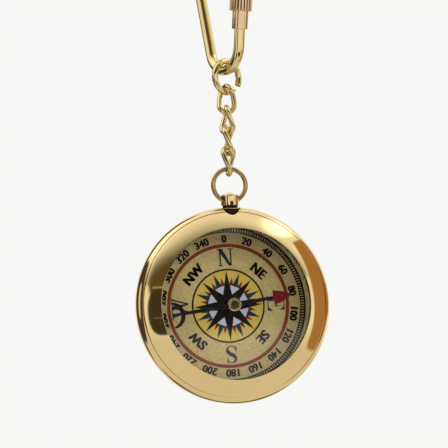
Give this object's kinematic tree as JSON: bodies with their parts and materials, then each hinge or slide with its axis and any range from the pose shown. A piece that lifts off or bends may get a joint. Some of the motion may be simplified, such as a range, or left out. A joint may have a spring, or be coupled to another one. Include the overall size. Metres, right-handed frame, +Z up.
{
  "type": "compass keychain",
  "caption": "Round brass pocket compass that hangs by a pendant bow, a short twisted chain and a jump ring from a hook with a screw barrel.",
  "frame": {"origin": "underside of the hook's top bend, where it hangs on whatever carries it", "axes": "+Z up along the hanging chain, +Y through the case from the dial to its flat back, +X to the right as one reads the dial"},
  "size_m": [0.045, 0.0206, 0.1199],
  "materials": {
    "hook_brass": "polished",
    "barrel_brass": "bright turned and knurled",
    "chain_brass": "polished wire",
    "pendant_brass": "bright turned",
    "case_brass": "mirror polished and lacquered",
    "inner_brass": "satin",
    "crystal_glass": "clear flat",
    "dial_print": "printed parchment gold",
    "pin_steel": "ground to a point",
    "needle_lacquer": "black lacquer with a red north arrow",
    "jewel_glass": "polished cup"
  },
  "bodies": {
    "hook": {"hook_wire": "hook_brass"},
    "barrel": {"lock_barrel": "barrel_brass"},
    "jump_ring": {"jump_ring": "chain_brass"},
    "link_1": {"chain_link_1": "chain_brass"},
    "link_2": {"chain_link_2": "chain_brass"},
    "link_3": {"chain_link_3": "chain_brass"},
    "link_4": {"chain_link_4": "chain_brass"},
    "bow": {"bow_ring": "chain_brass"},
    "case": {"pendant_post": "pendant_brass", "case_body": "case_brass", "bezel": "case_brass", "crystal": "crystal_glass", "spacer_ring": "inner_brass", "dial_plate": "dial_print", "pivot_boss": "inner_brass", "pivot_pin": "pin_steel"},
    "needle": {"needle_blade": "needle_lacquer", "needle_cap": "inner_brass", "needle_jewel": "jewel_glass"}
  },
  "joints": [
    {"name": "barrel_slide", "type": "slide", "parent": "hook", "child": "barrel", "axis": [-0.0582, 0.1168, -0.9914], "range_m": [0, 0.0042]},
    {"name": "jump_ring_swing", "type": "hinge", "parent": "hook", "child": "jump_ring", "pos_m": [0, 0, -0.04078], "axis": [0.4462, -0.8949, 0], "range_deg": [-120, 120]},
    {"name": "link_1_swing", "type": "hinge", "parent": "jump_ring", "child": "link_1", "pos_m": [0, 0, -0.04602], "axis": [0.8988, 0.4384, 0], "range_deg": [-90, 90]},
    {"name": "link_2_swing", "type": "hinge", "parent": "link_1", "child": "link_2", "pos_m": [0, 0, -0.0507], "axis": [-0.9903, 0.1392, 0], "range_deg": [-65, 65]},
    {"name": "link_3_swing", "type": "hinge", "parent": "link_2", "child": "link_3", "pos_m": [0, 0, -0.05545], "axis": [-0.7254, 0.6884, 0], "range_deg": [-65, 65]},
    {"name": "link_4_swing", "type": "hinge", "parent": "link_3", "child": "link_4", "pos_m": [0, 0, -0.0602], "axis": [-0.3827, 0.9239, 0], "range_deg": [-65, 65]},
    {"name": "bow_swing", "type": "hinge", "parent": "link_4", "child": "bow", "pos_m": [0, 0, -0.06495], "axis": [-0.061, 0.9981, 0], "range_deg": [-100, 100]},
    {"name": "case_swing", "type": "hinge", "parent": "bow", "child": "case", "pos_m": [0, 0, -0.07093], "axis": [1, 0, 0], "range_deg": [-95, 95]},
    {"name": "needle_turn", "type": "hinge", "parent": "case", "child": "needle", "pos_m": [0, 0, -0.09495], "axis": [0, 1, 0], "continuous": true}
  ]
}
